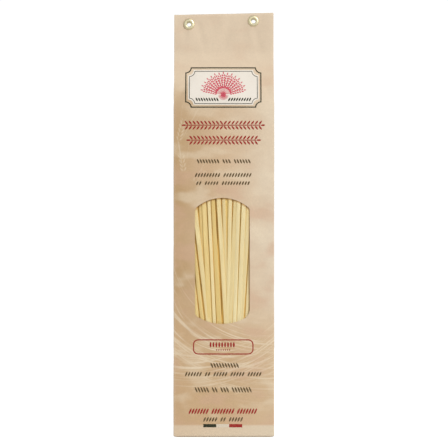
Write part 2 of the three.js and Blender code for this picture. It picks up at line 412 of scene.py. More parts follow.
def paper_columns():
    """The columns of the sheet, as places round the bag, closest at the creases."""
    creases = [half * HALF_ROUND + s for half in range(4) for s in (0, WIDTH, WIDTH + GUSSET_HALF)]
    columns = [SEAM, SEAM + 1.2]
    for crease in creases:
        if SEAM < crease < SEAM_END + SEAM_LAP:
            near = [crease + share * CREASE for share in (-1.2, -0.6, 0, 0.6, 1.2)]
            count = round((near[0] - columns[-1]) / COLUMN_WIDTH)
            columns += steps(columns[-1], near[0], count)[1:] + near[1:]
    count = round((SEAM_END - columns[-1]) / COLUMN_WIDTH)
    columns += steps(columns[-1], SEAM_END, count)[1:]
    return columns + steps(SEAM_END, SEAM_END + SEAM_LAP, 8)[1:]


def lap_lift(s):
    """The last stretch of the sheet lies on the first one at the seam."""
    return LAP_LIFT * smoothstep(s, SEAM_END - 2, SEAM_END + 0.5)


def wear(s, z, over):
    """How rubbed the paper is: most on its outer creases, the bottom edge and the fold."""
    past = s % HALF_ROUND
    corner = min(past, HALF_ROUND - past, (s - WIDTH) % HALF_ROUND)
    near = exp(-((corner / 0.8) ** 2)) + exp(-((z / 2.2) ** 2))
    near += exp(-(((over - pi * FOLD_AXIS / 2) / 1.2) ** 2)) if over else 0
    return min(near, 1)


def paper_sheet():
    """The sheet, as a grid laid round the bag. The lap of its seam ends at the bottom edge."""
    rows, columns = paper_rows(), paper_columns()
    bm = new_grid(len(columns) - 1, len(rows) - 1)
    rubbed = bm.verts.layers.float.new("wear")
    for vert in bm.verts:
        s = columns[round((vert.co.x + 0.5) * (len(columns) - 1))]
        row = rows[round((vert.co.y + 0.5) * (len(rows) - 1))]
        vert[rubbed] = wear(s, *row[1:])
        vert.co = paper_point(s, row, lap_lift(s))
        vert.tag = s > columns[-1] - SEAM_LAP - 0.01 and row[0] > 0
    bottom_lap = [face for face in bm.faces if all(vert.tag for vert in face.verts)]
    bmesh.ops.delete(bm, geom=bottom_lap, context="FACES")
    return bm


def punch_eyelet_holes(bm):
    """Takes out the paper inside the eyelets, through every layer of the neck and its flap."""
    for node in EYELET_NODES:
        low, high = box_mm(node)
        centre = (low + high) / 2
        hole = set()
        for vert in bm.verts:
            up = vert.co.z + barrel_drop(vert.co.y) - centre.z
            if hypot(vert.co.x - centre.x, up) < HOLE_REACH:
                hole.update(vert.link_faces)
        bmesh.ops.delete(bm, geom=list(hole), context="FACES")


def arched_end(level, arch, first, second, up):
    """One end of the window: an arch about this level, with a fillet at each corner."""
    turns = []
    for corner in (first, second):
        reach = WINDOW_HALF - corner
        rise = sqrt((arch - corner) ** 2 - reach**2)
        turns.append((reach, rise, degrees(atan2(rise, reach))))
    (reach, rise, turn), (far_reach, far_rise, far_turn) = turns
    points = arc(reach, rise, first, 0, turn, 5)
    points += arc(0, 0, arch, turn, 180 - far_turn, 14)[1:-1]
    points += arc(-far_reach, far_rise, second, 180 - far_turn, 180, 5)
    return [(WINDOW_X + up * x, level + up * z) for x, z in points]


def window_cutter():
    """A prism with the outline of the window, from inside the bag to in front of it."""
    outline = arched_end(WINDOW_HIGH - TOP_ARCH, TOP_ARCH, 3, 4.5, 1)
    outline += arched_end(WINDOW_LOW + LOW_ARCH, LOW_ARCH, 4, 8.5, -1)
    bm = bmesh.new()
    add_polygon(bm, outline)
    bmesh.ops.translate(bm, vec=(0, -10, 0), verts=bm.verts)
    made = bmesh.ops.extrude_face_region(bm, geom=bm.faces[:])["geom"]
    front = [vert for vert in made if isinstance(vert, bmesh.types.BMVert)]
    bmesh.ops.translate(bm, vec=(0, -30, 0), verts=front)
    bmesh.ops.recalc_face_normals(bm, faces=bm.faces)
    bmesh.ops.scale(bm, vec=(MM, MM, MM), verts=bm.verts)
    return to_scene("window_cutter", to_mesh("window_cutter", bm))


def make_bag(material):
    bm = paper_sheet()
    punch_eyelet_holes(bm)
    bag = finish_piece("bag_paper", bm, material, "paper_bag")
    cutter = window_cutter()
    thicken(bag, PAPER, cutter)
    bpy.data.objects.remove(cutter)
    sharpen(bag, 50)


def make_base_flap(side, material):
    """The front (-1) or back (1) flap of the block bottom. The back one dips below the front one."""
    start = BODY_DEPTH + BASE_BULGE - BASE_ROUND + 0.4
    length = start + BASE_FLAP_LAP
    bm = new_grid(40, 16)
    for vert in bm.verts:
        reach = vert.co.y + 0.5
        x = vert.co.x * 2 * (HALF_WIDTH - 1.6 - 0.9 * length * reach)
        y = side * (start - length * reach)
        over = 1 if side < 0 else smoothstep(y, BASE_FLAP_LAP, BASE_FLAP_LAP + 3)
        rise = BASE_FLAP_RISE * over + 0.03 * noise_at(x / 9, y / 9, side)
        vert.co = (x, y, rise + 0.04)
    if side < 0:
        bmesh.ops.reverse_faces(bm, faces=bm.faces)
    name = "base_flap_front" if side < 0 else "base_flap_back"
    flap = finish_piece(name, bm, material, "paper_bag")
    thicken(flap, BASE_FLAP_PAPER)
    sharpen(flap, 50)


# ---- film


def make_film(material):
    """Clear film glued inside the front panel, with faint ripples."""
    bm = new_grid(34, 70)
    for vert in bm.verts:
        x = WINDOW_X + vert.co.x * 2 * (WINDOW_HALF + FILM_MARGIN)
        z = lerp(WINDOW_LOW - FILM_MARGIN, WINDOW_HIGH + FILM_MARGIN, vert.co.y + 0.5)
        ripple = 0.1 * noise_at(x / 9, z / 26, 4.2)
        vert.co = on_front(x, z, -PAPER - FILM_SET_BACK + ripple)
    film = finish_piece("window_film_sheet", bm, material, "window_film")
    thicken(film, FILM)


# ---- pasta

# The strands in the window. At the high and the low mark: each one's x, its depth behind the front and
# how wide it looks. Then its roll in degrees, and how pale it is.
SHOWN_STRANDS = [
    ((-33.6, -24.4), (0.5, 0.3), (3.8, 3.8), 8, 0.5),
    ((-30.2, -20.6), (0.6, 0.3), (3.6, 3.2), 5, 0.6),
    ((-27.2, -16.6), (0.35, 0.1), (3.5, 3.2), -6, 0.5),
    ((-23, -12.4), (0, 0), (3.9, 3.8), 4, 0.8),
    ((-17.6, -13.2), (1.2, 1.1), (3.7, 3.7), -5, 0.5),
    ((-15.4, -11.1), (0.5, 0.2), (3.8, 3.9), 8, 0.55),
    ((-11.8, -7.7), (0.2, 0.1), (2.8, 2.8), 12, 0.9),
    ((-8.2, -3.6), (0.8, 0.9), (3.1, 4.2), -6, 0.4),
    ((-4.1, 1.3), (0, 0), (3.4, 3.6), 8, 0.85),
    ((0, 1.8), (0.7, 0.6), (3, 3), -8, 0.8),
    ((2.6, 1.8), (1, 0.8), (3.4, 3.4), 4, 0.3),
    ((5, 3.4), (0.1, 0.3), (3.1, 3.2), 6, 0.95),
    ((9.1, 5), (0.4, 0.1), (3.5, 3.5), -6, 0.8),
    ((11.4, 8.4), (0, 0), (3.4, 3.5), -3, 1),
    ((15.7, 11.9), (0.1, 0.1), (3.8, 3.8), 5, 1),
    ((19.6, 13.8), (0.4, 0.15), (3.8, 3.8), -5, 0.85),
    ((23.2, 18.3), (0.9, 0.9), (3.8, 3.8), 6, 1),
    ((26.4, 22.4), (1.2, 1), (3.8, 3.8), -3, 0.4),
    ((30, 26), (0.7, 0.5), (3.8, 3.8), 3, 0.5),
]


def strand_template():
    """A closed tube with a radius of 1 and a length of 1."""
    bm = bmesh.new()
    bmesh.ops.create_cone(bm, cap_ends=True, cap_tris=False, segments=16, radius1=1, radius2=1, depth=1)
    sides = [edge for edge in bm.edges if edge.calc_length() > 0.9]
    bmesh.ops.subdivide_edges(bm, edges=sides, cuts=19)
    return to_mesh("strand_template", bm)


def drawn_out(value):
    """Moves a place on a circle of radius 1 outwards, towards a box."""
    return copysign(abs(value) ** FLATNESS, value)


class Bundle:
    """Strands laid one after another into one mesh."""

    def __init__(self):
        self.bm = bmesh.new()
        self.layers = [self.bm.verts.layers.float.new(name) for name in STRAND_LAYERS]
        self.template = strand_template()
        self.rng = random.Random(11)

    def lay(self, path, roll, widths=(STRAND_WIDTH, STRAND_WIDTH), depth=0, pale=None):
        """Adds a strand along a path. widths holds its width at the high and the low mark."""
        rng = self.rng
        known = len(self.bm.verts)
        self.bm.from_mesh(self.template)
        self.bm.verts.ensure_lookup_table()
        bow = Vector((rng.uniform(-0.2, 0.2), rng.uniform(-0.1, 0.1)))
        twist = radians(rng.uniform(-9, 9))
        start = pasta_low.z + rng.uniform(0, 1.5)
        end = pasta_high.z - rng.uniform(0, 4)
        tone = rng.random() if pale is None else pale
        thickness = STRAND_THICKNESS * rng.uniform(0.92, 1.06)
        for vert in self.bm.verts[known:]:
            share = vert.co.z + 0.5
            z = lerp(start, end, share)
            width = lerp(widths[1], widths[0], smoothstep(z, LOW_MARK, HIGH_MARK))
            wide = drawn_out(vert.co.x) * width / 2 * (1 + 0.03 * sin(9 * share + 40 * tone))
            section = Vector((wide, drawn_out(vert.co.y) * thickness / 2))
            section.rotate(Matrix.Rotation(radians(roll) + twist * (share - 0.5), 2))
            middle = Vector(path(z)) + bow * sin(pi * share)
            vert.co = (*(middle + section), z)
            for layer, value in zip(self.layers, (tone, abs(wide) / (width / 2), depth)):
                vert[layer] = value


def leaning(places, depths):
    """A strand's path at the front, from its places and depths at the high and the low mark."""

    def path(z):
        x = lerp(places[1], places[0], (z - LOW_MARK) / (HIGH_MARK - LOW_MARK))
        x = min(max(x, -STRAND_REACH), STRAND_REACH)
        y = front_face(x, min(z, SHOULDER)) + STRAND_SET_BACK + STRAND_THICKNESS / 2
        y += lerp(depths[1], depths[0], smoothstep(z, HIGH_MARK - 60, HIGH_MARK + 2))
        y += HIDDEN_DIP * smoothstep(z, LOW_MARK - 5, LOW_MARK - 30)
        y += HIDDEN_DIP * smoothstep(z, HIGH_MARK + 6, SHOULDER)
        return x, y

    return path


def upright(x, y):
    return lambda z: (x, y)


def make_pasta(material):
    """The strands in the window, three layers behind them, one at the back and one at each side."""
    bundle = Bundle()
    rng = bundle.rng
    for places, depths, widths, roll, pale in SHOWN_STRANDS:
        # The depth layer sets how much painted deep shade a shown strand takes.
        bundle.lay(leaning(places, depths), roll, widths, 0.12 * depths[0], pale)
    half = (pasta_high.x - pasta_low.x) / 2 - STRAND_WIDTH / 2
    for side in (-1, 1):
        for place in (side * half, side * (half - STRAND_WIDTH)):
            bundle.lay(leaning((place, place), (0.4, 0.4)), rng.uniform(-6, 6))
    for layer in steps(STRAND_THICKNESS, STRAND_THICKNESS + 2 * RANK, 2):
        for x in steps(-half, half, 18):
            slant = 0.05 * (x - 6) * (1 - (x / half) ** 2)
            shift = rng.uniform(-0.5, 0.5)
            roll = rng.uniform(-18, 18)
            places = (x + shift - 1.4 * slant, x + shift + 1.4 * slant)
            bundle.lay(leaning(places, (layer + TOP_DIP, layer)), roll, depth=1)
    deep = (pasta_high.y - pasta_low.y) / 2 - STRAND_THICKNESS / 2 - 0.4
    for x in steps(-half, half, 18):
        bundle.lay(upright(x, deep - 1.2 * (x / half) ** 2), rng.uniform(-6, 6))
    for side in (-1, 1):
        for y in steps(-deep + 9, deep - 2.5, 5):
            bundle.lay(upright(side * (half + 0.8), y), 90 + rng.uniform(-8, 8))
    bpy.data.meshes.remove(bundle.template)
    finish_piece("linguine_strands", bundle.bm, material, "linguine")


def make_core(material):
    """What fills the bundle behind its outer strands."""
    bm = bmesh.new()
    bmesh.ops.create_cube(bm, size=1)
    front = front_face(0, FILL_HEIGHT) + STRAND_SET_BACK + RANK * 4.5
    back = pasta_high.y - STRAND_THICKNESS - 2
    half = pasta_high.x - STRAND_THICKNESS - 1
    low, high = Vector((-half, front, pasta_low.z + 2)), Vector((half, back, pasta_high.z - 6))
    for vert in bm.verts:
        vert.co = (low + high) / 2 + vert.co * (high - low)
    bmesh.ops.subdivide_edges(bm, edges=bm.edges, cuts=5, use_grid_fill=True)
    finish_piece("linguine_core", bm, material, "linguine")


# ---- eyelets


def barrel_drop(y):
    """The plies of the neck have slipped a little, so a barrel runs down towards its back."""
    return BARREL_DROP * smoothstep(y, -NECK_DEPTH, FOLD_AXIS + FOLD_RADIUS)


def make_eyelet(node, material):
    """A brass eyelet: a cone of a flange in front, a barrel, and its end rolled over behind."""
    low, high = box_mm(node)
    centre = (low + high) / 2
    flange = (high.x - low.x) / 2
    wave = neck_wave(centre.x, centre.z)
    front = -NECK_DEPTH - 0.05 + wave
    back = FOLD_AXIS + FOLD_RADIUS + 0.35 + wave
    profile = []
    for angle in steps(0, pi / 2, 6):
        radius = lerp(FLANGE_CREST, flange, cos(angle) ** 0.7)
        profile.append((radius, front - FLANGE_RISE * sin(angle) ** 1.6))
    for angle in steps(0, pi / 2, 6)[1:]:
        radius = lerp(FLANGE_CREST, BORE, sin(angle))
        profile.append((radius, front - FLANGE_RISE * cos(angle)))
    for angle in steps(0, pi, 10):
        radius = lerp(BORE, ROLLED_END, (1 - cos(angle)) / 2)
        profile.append((radius, back + ROLL_RISE * sin(angle) ** 0.8))
    profile += [(BORE + 0.3, back), (BORE + 0.3, front)]
    bm = bmesh.new()
    verts = [bm.verts.new((centre.x + radius, y, centre.z)) for radius, y in profile]
    edges = [bm.edges.new((a, b)) for a, b in zip(verts, verts[1:] + verts[:1])]
    bmesh.ops.spin(bm, geom=verts + edges, cent=centre, axis=(0, 1, 0), angle=2 * pi, steps=48,
                   use_merge=True)
    bmesh.ops.remove_doubles(bm, verts=bm.verts, dist=0.001)
    bmesh.ops.recalc_face_normals(bm, faces=bm.faces)
    for vert in bm.verts:
        vert.co.z -= barrel_drop(vert.co.y)
    sharpen(finish_piece(f"brass_{node}", bm, material, node), 60)


# ---- print

# Flat shapes in (x, z) on the front panel, each laid on the paper as a thin layer of ink.
INK = 0.06  # from one layer of ink to the next
INK_LIFT = 0.07  # from the paper to the lowest layer
INK_STEP = 1  # an inked shape is cut this small, to follow the paper


def cut_small(bm):
    """Cuts flat shapes into small pieces."""
    for normal in (Vector((1, 0, 0)), Vector((0, 0, 1))):
        places = [vert.co.dot(normal) for vert in bm.verts]
        low, high = min(places), max(places)
        for place in steps(low, high, max(1, round((high - low) / INK_STEP)))[1:-1]:
            geometry = bm.verts[:] + bm.edges[:] + bm.faces[:]
            bmesh.ops.bisect_plane(bm, geom=geometry, dist=0.001, plane_co=normal * place, plane_no=normal)


def finish_print(name, bm, material, layer=0):
    """Lays flat shapes on the front panel. A higher layer lies over a lower one."""
    cut_small(bm)
    for face in bm.faces:
        if face.normal.y > 0:
            face.normal_flip()
    for vert in bm.verts:
        vert.co = on_front(vert.co.x, vert.co.z, INK_LIFT + layer * INK)
    piece = finish_piece(name, bm, material, "paper_bag")
    piece.data.shade_flat()
    thicken(piece, INK * 0.8)


# The emblem: a line round a plaque with a tied sheaf, and leaves at both sides of the sheaf's foot.
EMBLEM_X = -0.4
EMBLEM_Z = 272
EMBLEM_WIDTH = 59
EMBLEM_HEIGHT = 32
EMBLEM_NOTCH = 4.2  # radius of the round bite out of each corner
EMBLEM_LINES = [(0, 0.85), (3, 0.45)]  # how far in from the outside each line runs, and its width
PLAQUE_INSET = 2.2
SHEAF_STALKS = 15
SHEAF_SPREAD = 77  # degrees to each side
SHEAF_TIE = EMBLEM_Z - 6
SHEAF_LENGTH = 15.9
SHEAF_FOOT = 4.2  # how far the stalks reach below the tie
EAR_START = 0.36  # of a stalk's length
EAR_GRAINS = 6
EAR_PITCH = 1.6
LEAF_ROW = EMBLEM_Z - 9.6
LEAF_TILT = 28


def add_plaque(bm, inset):
    """A plaque with a notch in each corner, drawn in by inset from the emblem's outside."""
    width, height = EMBLEM_WIDTH - 2 * inset, EMBLEM_HEIGHT - 2 * inset
    corners = []
    for quarter, (side, end) in enumerate([(1, 1), (-1, 1), (-1, -1), (1, -1)]):
        x, z = EMBLEM_X + side * width / 2, EMBLEM_Z + end * height / 2
        corners += arc(x, z, EMBLEM_NOTCH, 270 + 90 * quarter, 180 + 90 * quarter, 6)
    return add_polygon(bm, corners)


def make_emblem_field(inks):
    bm = bmesh.new()
    add_plaque(bm, PLAQUE_INSET)
    finish_print("emblem_field", bm, inks["cream"])


def make_emblem_frame(inks):
    """A heavy line round the plaque, a fine one inside its edge, and two rows of leaves."""
    bm = bmesh.new()
    for inset, line in EMBLEM_LINES:
        leave_rim(bm, add_plaque(bm, inset), line)
    for side in (-1, 1):
        for along in steps(4.6, 20.6, 8):
            add_oval(bm, EMBLEM_X + side * along, LEAF_ROW, 1.25, 3.2, side * LEAF_TILT, 8, 0.3)
    finish_print("emblem_frame", bm, inks["green"], 1)


def add_stalk(bm, tilt, length):
    """A stalk of the sheaf with its ear, turned to the right by tilt degrees."""
    turn = Matrix.Rotation(radians(-tilt), 2)

    def place(side, along):
        point = Vector((side, along * (1 + 0.12 * along / length)))
        point.rotate(turn)
        return EMBLEM_X + point.x, SHEAF_TIE + point.y

    ear = length * EAR_START
    add_polygon(bm, [place(-0.16, 0), place(0.16, 0), place(0.16, ear), place(-0.16, ear)])
    foot = [(0.14, -0.6), (0.14, -SHEAF_FOOT), (-0.14, -SHEAF_FOOT), (-0.14, -0.6)]
    add_polygon(bm, [place(*corner) for corner in foot])
    for rank in range(EAR_GRAINS):
        for side in (-1, 1):
            x, z = place(side * 0.75, ear + rank * EAR_PITCH)
            add_oval(bm, x, z, 1.05, 1.9, tilt + side * 24, 8, 0.3)
    x, z = place(0, ear + EAR_GRAINS * EAR_PITCH)
    add_oval(bm, x, z, 0.9, 2.2, tilt, 8, 0.3)


def make_sheaf(inks):
    """A fan of stalks, tied near the bottom. Every other one is a little longer."""
    bm = bmesh.new()
    for index, tilt in enumerate(steps(-SHEAF_SPREAD, SHEAF_SPREAD, SHEAF_STALKS - 1)):
        add_stalk(bm, tilt, SHEAF_LENGTH + (1.2 if index % 2 else 0))
    add_oval(bm, EMBLEM_X, SHEAF_TIE - 0.2, 3.8, 1.3)
    finish_print("emblem_sheaf", bm, inks["rose"], 1)


# Sprigs in place of a title: the middle x and z, half the length, the height, and how many grains.
TITLE_ROWS = [(-0.4, 242.4, 30.6, 7.6, 20), (-0.2, 230.8, 27.2, 7.6, 18)]
SPRIG_STALK = 0.65
SPRIG_TILT = 38

# Rows of small slanted grains: the middle x and z, a grain's height and tilt, the grains per group.
HATCH_PITCH = 2.2
HATCH_GRAIN = 1.28
HATCH_ROWS = [
    (-0.1, 214.4, 3.8, -24, (8, 3, 6)),
    (-0.5, 203.7, 3.8, 24, (9, 10)),
    (-0.7, 197.4, 3.4, 24, (2, 5, 10)),
    (0.6, 56, 4.4, -24, (10,)),
    (-0.5, 49.2, 4, 24, (6, 2, 5, 5, 5)),
    (-0.5, 37, 4.8, -24, (5, 2, 3, 7)),
    (-0.6, 14, 4, 24, (5, 2, 5)),
]
RED_ROW = (-0.8, 20.3, 5, 24, (7, 8, 7))
RED_GRAIN = 1.4

# The rounded frame with two rows of grains in it: the middle x and z, the width and the height.
LABEL = (-0.5, 70.3, 46.8, 11.8)
LABEL_CORNER = 4
LABEL_LINE = 0.85
LABEL_ROW = 72
LABEL_DOTS = 68

# The three bars near the bottom edge, each by its middle x and its width.
FLAG_BARS = {"green": (-10.9, 10), "white": (-0.9, 10), "red": (9.15, 10.1)}
FLAG_Z = 9.1
FLAG_HEIGHT = 2.5


def sprig(bm, x, z, half_length, height, count):
    """A sprig lying across the panel: pairs of slanted grains along a fine stalk."""
    reach = half_length - 2
    add_rectangle(bm, x, z, 2 * reach, SPRIG_STALK)
    for along in steps(-reach, reach, count - 1):
        for side in (-1, 1):
            tilt = side * copysign(SPRIG_TILT, along)
            add_oval(bm, x + along, z + side * height * 0.26, 1.3, height * 0.5, tilt, 10, 0.35)
    for end in (-1, 1):
        add_oval(bm, x + end * half_length, z, 1.3, 3.6, 90, 10, 0.35)


def hatch_row(bm, x, z, height, tilt, groups, width=HATCH_GRAIN):
    """Groups of small slanted grains, with the room of one grain between two groups."""
    places = sum(groups) + len(groups) - 1
    place = x - (places - 1) * HATCH_PITCH / 2
    for count in groups:
        for _ in range(count):
            add_oval(bm, place, z, width, height, tilt, 10, 0.25)
            place += HATCH_PITCH
        place += HATCH_PITCH


def add_label(bm):
    leave_rim(bm, add_rectangle(bm, *LABEL, LABEL_CORNER), LABEL_LINE)
    for along in steps(-9, 9, 8):
        add_oval(bm, LABEL[0] - 0.8 + along, LABEL_ROW, 1.5, 4.2, 0, 10, 0.25)
    for along in steps(-5, 5, 6):
        add_oval(bm, LABEL[0] + along, LABEL_DOTS, 0.7, 1.5)


def add_bar(bm, name):
    x, width = FLAG_BARS[name]
    add_rectangle(bm, x, FLAG_Z, width, FLAG_HEIGHT)


def make_red_print(inks):
    """The title, the label, a row of grains and the red bar."""
    bm = bmesh.new()
    for row in TITLE_ROWS:
        sprig(bm, *row)
    add_label(bm)
    hatch_row(bm, *RED_ROW, RED_GRAIN)
    add_bar(bm, "red")
    finish_print("red_print", bm, inks["red"])


def make_brown_print(inks):
    bm = bmesh.new()
    for row in HATCH_ROWS:
        hatch_row(bm, *row)
    finish_print("brown_print", bm, inks["brown"])


def make_flag_bars(inks):
    """The green and the white bar. The red one belongs to the red print."""
    for name, ink, slot in (("green", "green", "print_green"), ("white", "pale", "print_cream")):
        bm = bmesh.new()
        add_bar(bm, name)
        finish_print(f"flag_bar_{name}", bm, inks[ink])


# ---- materials


class Wire:
    """What a node puts out. Sums, products and the like add math nodes."""

    def __init__(self, nodes, socket):
        self.nodes = nodes
        self.socket = socket

    def __add__(self, other):
        return self.nodes.math("ADD", self, other)

    def __sub__(self, other):
        return self.nodes.math("SUBTRACT", self, other)

    def __mul__(self, other):
        return self.nodes.math("MULTIPLY", self, other)

    def __truediv__(self, other):
        return self.nodes.math("DIVIDE", self, other)

    def __abs__(self):
        return self.nodes.math("ABSOLUTE", self)

    def fade(self, low, high, start=0, end=1):
        """Goes smoothly from start to end while this value goes from low to high."""
        inputs = {"Value": self, "From Min": low, "From Max": high, "To Min": start, "To Max": end}
        return self.nodes.add("MapRange", inputs, interpolation_type="SMOOTHSTEP")["Result"]


class Nodes:
    """Adds nodes to a tree and joins them up."""

    def __init__(self, tree):
        self.tree = tree

    def feed(self, node, inputs):
        """Joins wires to a node's inputs, and sets those that are constants."""
        for name, value in inputs.items():
            if isinstance(value, Wire):
                self.tree.links.new(value.socket, node.inputs[name])
            else:
                node.inputs[name].default_value = value

    def add(self, kind, inputs=None, **settings):
        """Adds a node and gives a wire for each of its outputs."""
        node = self.tree.nodes.new("ShaderNode" + kind)
        for name, value in settings.items():
            setattr(node, name, value)
        self.feed(node, inputs or {})
        return {output.identifier: Wire(self, output) for output in node.outputs}

    def math(self, operation, first, second=0, clamp=False):
        return self.add("Math", {0: first, 1: second}, operation=operation, use_clamp=clamp)["Value"]

    def noise(self, vector, size, detail=2, roughness=0.5):
        """Soft noise whose waves are about this many millimetres long."""
        inputs = {"Vector": vector, "Scale": 1 / size, "Detail": detail, "Roughness": roughness}
        return self.add("TexNoise", inputs)["Fac"]

    def vector(self, x, y, z):
        return self.add("CombineXYZ", {"X": x, "Y": y, "Z": z})["Vector"]

    def parts(self, vector):
        return self.add("SeparateXYZ", {"Vector": vector}).values()

    def length(self, across, up):
        inputs = {0: self.vector(across, up, 0)}
        return self.add("VectorMath", inputs, operation="LENGTH")["Value"]

    def place(self):
        """Where a point is on the piece, in millimetres."""
        inputs = {0: self.add("TexCoord")["Object"], "Scale": 1 / MM}
        return self.add("VectorMath", inputs, operation="SCALE")["Vector"]

    def attribute(self, name):
        return self.add("Attribute", attribute_name=name)["Fac"]

    def mix(self, share, first, second, blend="MIX"):
        inputs = {"Factor": share, 6: first, 7: second}
        return self.add("Mix", inputs, data_type="RGBA", blend_type=blend)["Result_Color"]

    def layered(self, colour, layers, shade):
        """Lays colours over a colour, each with its share, and shades the whole."""
        for share, over in layers:
            colour = self.mix(share, colour, over)
        return self.mix(1, colour, self.vector(shade, shade, shade), "MULTIPLY")

    def ramp(self, value, stops):
        """A row of colours along a value from 0 to 1."""
        colour = self.add("ValToRGB", {"Fac": value})["Color"]
        elements = colour.socket.node.color_ramp.elements
        while len(elements) < len(stops):
            elements.new(0.5)
        for element, (place, screen) in zip(elements, stops):
            element.position = place
            element.color = linear(*screen)
        return colour

    def bump(self, height, distance):
        """A normal from a height between 0 and 1 that stands for this many millimetres."""
        inputs = {"Height": height, "Strength": 1, "Distance": distance * MM}
        return self.add("Bump", inputs)["Normal"]


def new_material(name):
    """A new material, its nodes and its shader."""
    material = bpy.data.materials.new(name)
    material.use_nodes = True
    return material, Nodes(material.node_tree), material.node_tree.nodes["Principled BSDF"]


def paper_fibre_group():
    """Fine mottling and a felted height, for the paper and its print."""
    group = bpy.data.node_groups.new("paper fibre", "ShaderNodeTree")
    for name in ("Mottle", "Height"):
        group.interface.new_socket(name, in_out="OUTPUT", socket_type="NodeSocketFloat")
    nodes = Nodes(group)
    place = nodes.place()
    x, y, z = nodes.parts(place)
    mottle = nodes.noise(place, 1.3, 3, 0.65)
    fibres = nodes.noise(nodes.vector(x * 0.35, y, z), 0.35)
    output = group.nodes.new("NodeGroupOutput")
    nodes.feed(output, {"Mottle": mottle, "Height": mottle * 0.6 + fibres * 0.4})
    return group


# Colours of the printed paper across the front, from the left edge to the right.
FIELD_STOPS = [(0, (187, 155, 114)), (0.45, (207, 179, 146)), (1, (218, 200, 175))]
LOW_FIELD_STOPS = [(0, (197, 165, 127)), (0.5, (197, 166, 127)), (1, (205, 177, 142))]
BAND_STOPS = [(0, (212, 189, 160)), (1, (216, 199, 173))]
PLAIN_PAPER = linear(217, 197, 171)
STRAW = linear(232, 217, 190)
ROSY = linear(204, 168, 140)
RUBBED = linear(228, 212, 188)
PAPER_GLOSS = 0.25

# Where the colours change, each as two heights.
LOW_FIELD = (65, 120)  # from the low field to the high one
PRINT_END = (240, 300)  # from the print to plain paper
CLOUD_END = (250, 190)  # from weak clouds to strong ones
BAND_TOP = (10.5, 8.5)  # from the print to the band along the bottom edge

# Printed straw in arcs: the centre's x and z, the inner and outer radius, a stroke's width, the strength.
STRAW_ARCS = [
    (13, 131, 52, 94, 1.5, 0.68),
    (-14, 142, 70, 112, 1.2, 0.58),
    (46, 170, 84, 150, 1.7, 0.5),
]

# Printed ears of grain: the foot's x and z, the lean to the right in degrees, the length, the strength.
EARS = [
    (-35.5, 229, 14, 20, 0.3),
    (-31, 205, -8, 17, 0.3),
    (-24, 197, 38, 15, 0.22),
    (33, 150, -38, 24, 0.22),
]
GRAIN_PITCH = 3.2


def straw_strokes(nodes, x, z, arc_of):
    """Fine pale strokes that run along arcs and come and go."""
    centre_x, centre_z, inner, outer, stroke, strength = arc_of
    across, down = x - centre_x, nodes.math("SUBTRACT", centre_z, z)
    reach = nodes.length(across, down)
    along = nodes.math("ARCTAN2", across, down)
    lane = reach + nodes.math("SINE", along * 2.3) * 5
    strokes = nodes.noise(nodes.vector(lane, along * (2 * stroke), centre_x), stroke, 1)
    near = reach.fade(inner, inner + 12) * reach.fade(outer - 22, outer, 1, 0)
    return strokes.fade(0.5, 0.72) * near * (down.fade(0, 30) * strength)


def printed_ear(nodes, x, z, ear):
    """A faint ear: two ranks of slanted grains and a fan of awns that reaches past them."""
    foot_x, foot_z, tilt, length, strength = ear
    turn = radians(tilt)
    right, up = x - foot_x, z - foot_z
    across = right * cos(turn) - up * sin(turn)
    along = right * sin(turn) + up * cos(turn)
    side = abs(across)
    rank = nodes.math("FRACT", along / GRAIN_PITCH - side * 0.35)
    from_grain = nodes.length((side - 1.4) / 1.3, (rank - 0.5) * 2.2)
    grains = from_grain.fade(0.5, 1.1, 1, 0) * along.fade(length, length - 3)
    angle = nodes.math("ARCTAN2", across, along + 6)
    awns = nodes.noise(nodes.vector(angle, foot_x, 0), 0.07, 1).fade(0.55, 0.7)
    awns = awns * abs(angle).fade(0.45, 0.3) * along.fade(1.9 * length, 1.2 * length)
    return nodes.math("MAXIMUM", grains, awns) * along.fade(0, 3) * strength


def unrolled(nodes, x, y):
    """How far right a point lies when the side panels are laid out flat beside the front."""
    corner = HALF_WIDTH - REST_TUCK - 1.2
    round_corner = nodes.math("MAXIMUM", y + BODY_DEPTH, 0)
    return x + nodes.math("SIGN", x) * (abs(x).fade(corner, corner + 1) * round_corner)


def printed_straw(nodes, x, z):
    """The straw and the ears together. Where two cross, the stronger one shows."""
    marks = [straw_strokes(nodes, x, z, arc_of) for arc_of in STRAW_ARCS]
    marks += [printed_ear(nodes, x, z, ear) for ear in EARS]
    strongest = marks[0]
    for mark in marks[1:]:
        strongest = nodes.math("MAXIMUM", strongest, mark)
    return strongest


